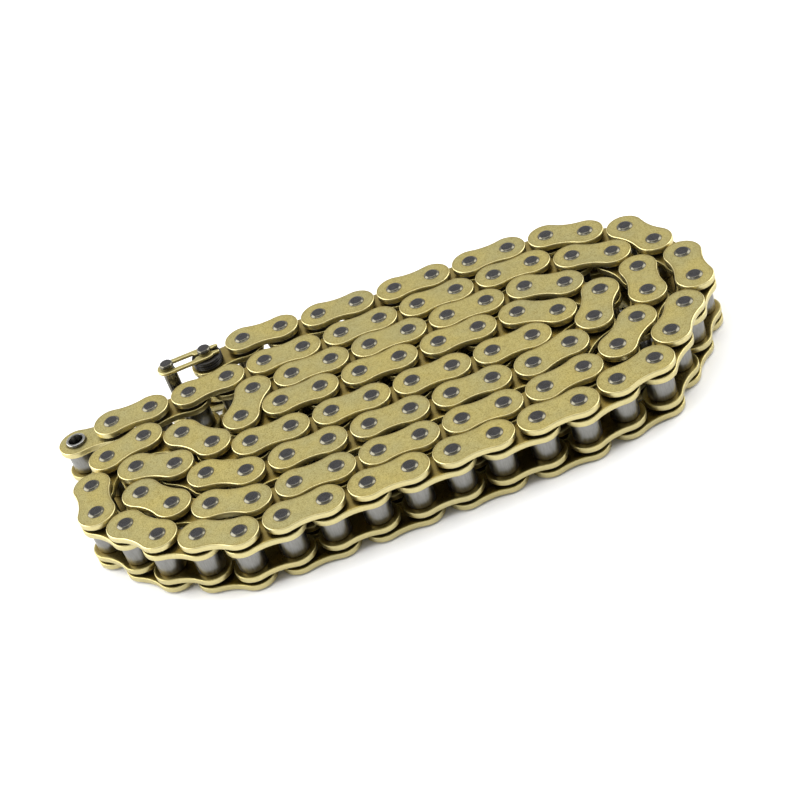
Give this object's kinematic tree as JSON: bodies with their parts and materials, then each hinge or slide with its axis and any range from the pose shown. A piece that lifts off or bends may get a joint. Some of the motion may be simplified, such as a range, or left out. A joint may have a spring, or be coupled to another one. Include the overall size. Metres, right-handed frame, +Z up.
{
  "type": "motorcycle drive chain",
  "caption": "Sealed roller drive chain in gold finish, coiled flat on its side, with a spring-clip connecting link at one end and an open inner link at the other.",
  "frame": {"origin": "centre of the bounding box in plan, on the surface that the pins' lower ends rest on", "axes": "+X along the coil's long side, away from the two free ends; +Y towards the row that ends in the connecting link; +Z up, along every pin"},
  "size_m": [0.2042, 0.1034, 0.0218],
  "materials": {
    "outer_plate": "satin gold zinc plate, fine grain",
    "inner_plate": "satin gold zinc plate, fine grain, oily",
    "outer_link": "satin gold zinc plate",
    "inner_link": "satin gold zinc plate",
    "chain_run": "satin gold zinc plate",
    "pin": "dark grey hardened steel",
    "roller": "satin grey steel",
    "bush": "bright grey steel",
    "spring_clip": "satin gold zinc plate",
    "seal": "black nitrile rubber, oily"
  },
  "bodies": {
    "packed_coil": {"links_019_to_036": "chain_run", "links_037_to_046": "chain_run", "links_047_to_054": "chain_run", "links_055_to_064": "chain_run", "links_065_to_076": "chain_run", "links_077_to_090": "chain_run", "links_091_to_104": "chain_run"},
    "link_018": {"link_018_outer": "outer_link"},
    "link_017": {"link_017_inner": "inner_link"},
    "link_016": {"link_016_outer": "outer_link"},
    "link_015": {"link_015_inner": "inner_link"},
    "link_014": {"link_014_outer": "outer_link"},
    "link_013": {"link_013_inner": "inner_link"},
    "link_012": {"link_012_outer": "outer_link"},
    "link_011": {"link_011_inner": "inner_link"},
    "link_010": {"link_010_outer": "outer_link"},
    "link_009": {"link_009_inner": "inner_link"},
    "link_008": {"link_008_outer": "outer_link"},
    "link_007": {"link_007_inner": "inner_link"},
    "link_006": {"link_006_outer": "outer_link"},
    "link_005": {"link_005_inner": "inner_link"},
    "link_004": {"link_004_outer": "outer_link"},
    "link_003": {"link_003_inner": "inner_link"},
    "link_002": {"link_002_outer_plate_top": "outer_plate", "link_002_outer_plate_bottom": "outer_plate", "link_002_pin_003": "pin", "link_002_seal_003_top": "seal", "link_002_seal_003_bottom": "seal", "link_002_pin_002": "pin", "link_002_seal_002_top": "seal", "link_002_seal_002_bottom": "seal"},
    "link_001": {"link_001_inner_plate_top": "inner_plate", "link_001_inner_plate_bottom": "inner_plate", "link_001_bush_002": "bush", "link_001_bush_001": "bush"},
    "connecting_link": {"connecting_plate": "outer_plate", "connecting_pin_joined": "pin", "connecting_seal_joined_bottom": "seal", "connecting_pin_free": "pin", "connecting_seal_free_bottom": "seal", "spring_clip": "spring_clip", "connecting_seal_stacked_lower": "seal", "connecting_seal_stacked_upper": "seal"},
    "link_105": {"link_105_inner": "inner_link"},
    "link_106": {"link_106_outer_plate_top": "outer_plate", "link_106_outer_plate_bottom": "outer_plate", "link_106_pin_106": "pin", "link_106_seal_106_top": "seal", "link_106_seal_106_bottom": "seal", "link_106_pin_107": "pin", "link_106_seal_107_top": "seal", "link_106_seal_107_bottom": "seal"},
    "link_107": {"link_107_inner_plate_top": "inner_plate", "link_107_inner_plate_bottom": "inner_plate", "link_107_bush_107": "bush", "link_107_bush_108": "bush"},
    "roller_002": {"link_001_roller_002": "roller"},
    "roller_001": {"link_001_roller_001": "roller"},
    "roller_107": {"link_107_roller_107": "roller"},
    "roller_108": {"link_107_roller_108": "roller"}
  },
  "joints": [
    {"name": "hinge_at_pin_019", "type": "hinge", "parent": "packed_coil", "child": "link_018", "pos_m": [0.05687, -0.04365, 0.00978], "axis": [0, 0, -1], "range_deg": [0, 28]},
    {"name": "hinge_at_pin_018", "type": "hinge", "parent": "link_018", "child": "link_017", "pos_m": [0.06937, -0.0414, 0.00978], "axis": [0, 0, -1], "range_deg": [0, 28]},
    {"name": "hinge_at_pin_017", "type": "hinge", "parent": "link_017", "child": "link_016", "pos_m": [0.0784, -0.03247, 0.00978], "axis": [0, 0, -1], "range_deg": [0, 28]},
    {"name": "hinge_at_pin_016", "type": "hinge", "parent": "link_016", "child": "link_015", "pos_m": [0.08684, -0.02298, 0.00978], "axis": [0, 0, -1], "range_deg": [0, 28]},
    {"name": "hinge_at_pin_015", "type": "hinge", "parent": "link_015", "child": "link_014", "pos_m": [0.09452, -0.01287, 0.00978], "axis": [0, 0, -1], "range_deg": [0, 28]},
    {"name": "hinge_at_pin_014", "type": "hinge", "parent": "link_014", "child": "link_013", "pos_m": [0.09619, -0.00028, 0.00978], "axis": [0, 0, -1], "range_deg": [0, 28]},
    {"name": "hinge_at_pin_013", "type": "hinge", "parent": "link_013", "child": "link_012", "pos_m": [0.09183, 0.01165, 0.00978], "axis": [0, 0, -1], "range_deg": [0, 28]},
    {"name": "hinge_at_pin_012", "type": "hinge", "parent": "link_012", "child": "link_011", "pos_m": [0.08698, 0.02339, 0.00978], "axis": [0, 0, -1], "range_deg": [0, 28]},
    {"name": "hinge_at_pin_011", "type": "hinge", "parent": "link_011", "child": "link_010", "pos_m": [0.07574, 0.0293, 0.00978], "axis": [0, 0, -1], "range_deg": [0, 28]},
    {"name": "hinge_at_pin_010", "type": "hinge", "parent": "link_010", "child": "link_009", "pos_m": [0.06442, 0.03506, 0.00978], "axis": [0, 0, -1], "range_deg": [0, 28]},
    {"name": "hinge_at_pin_009", "type": "hinge", "parent": "link_009", "child": "link_008", "pos_m": [0.05185, 0.03688, 0.00978], "axis": [0, 0, -1], "range_deg": [0, 28]},
    {"name": "hinge_at_pin_008", "type": "hinge", "parent": "link_008", "child": "link_007", "pos_m": [0.03918, 0.0378, 0.00978], "axis": [0, 0, -1], "range_deg": [0, 28]},
    {"name": "hinge_at_pin_007", "type": "hinge", "parent": "link_007", "child": "link_006", "pos_m": [0.02652, 0.03881, 0.00978], "axis": [0, 0, -1], "range_deg": [0, 28]},
    {"name": "hinge_at_pin_006", "type": "hinge", "parent": "link_006", "child": "link_005", "pos_m": [0.01386, 0.03981, 0.00978], "axis": [0, 0, -1], "range_deg": [0, 28]},
    {"name": "hinge_at_pin_005", "type": "hinge", "parent": "link_005", "child": "link_004", "pos_m": [0.0012, 0.04078, 0.00978], "axis": [0, 0, -1], "range_deg": [0, 28]},
    {"name": "hinge_at_pin_004", "type": "hinge", "parent": "link_004", "child": "link_003", "pos_m": [-0.01139, 0.04249, 0.00978], "axis": [0, 0, -1], "range_deg": [0, 28]},
    {"name": "hinge_at_pin_003", "type": "hinge", "parent": "link_003", "child": "link_002", "pos_m": [-0.02397, 0.04417, 0.00978], "axis": [0, 0, -1], "range_deg": [0, 45]},
    {"name": "hinge_at_pin_002", "type": "hinge", "parent": "link_002", "child": "link_001", "pos_m": [-0.03656, 0.04585, 0.00978], "axis": [0, 0, -1], "range_deg": [0, 60]},
    {"name": "hinge_at_pin_001", "type": "hinge", "parent": "link_001", "child": "connecting_link", "pos_m": [-0.04922, 0.04481, 0.00978], "axis": [0, 0, -1], "range_deg": [-12, 100]},
    {"name": "hinge_at_pin_105", "type": "hinge", "parent": "packed_coil", "child": "link_105", "pos_m": [-0.0582, 0.02939, 0.00978], "axis": [0, 0, -1], "range_deg": [0, 22]},
    {"name": "hinge_at_pin_106", "type": "hinge", "parent": "link_105", "child": "link_106", "pos_m": [-0.07089, 0.02987, 0.00978], "axis": [0, 0, -1], "range_deg": [0, 60]},
    {"name": "hinge_at_pin_107", "type": "hinge", "parent": "link_106", "child": "link_107", "pos_m": [-0.08358, 0.03033, 0.00978], "axis": [0, 0, -1], "range_deg": [-25, 100]},
    {"name": "roller_002_spin", "type": "hinge", "parent": "link_001", "child": "roller_002", "pos_m": [-0.03656, 0.04585, 0.00978], "axis": [0, 0, 1], "continuous": true},
    {"name": "roller_001_spin", "type": "hinge", "parent": "link_001", "child": "roller_001", "pos_m": [-0.04922, 0.04481, 0.00978], "axis": [0, 0, 1], "continuous": true},
    {"name": "roller_107_spin", "type": "hinge", "parent": "link_107", "child": "roller_107", "pos_m": [-0.08358, 0.03033, 0.00978], "axis": [0, 0, 1], "continuous": true},
    {"name": "roller_108_spin", "type": "hinge", "parent": "link_107", "child": "roller_108", "pos_m": [-0.09619, 0.0318, 0.00978], "axis": [0, 0, 1], "continuous": true}
  ]
}
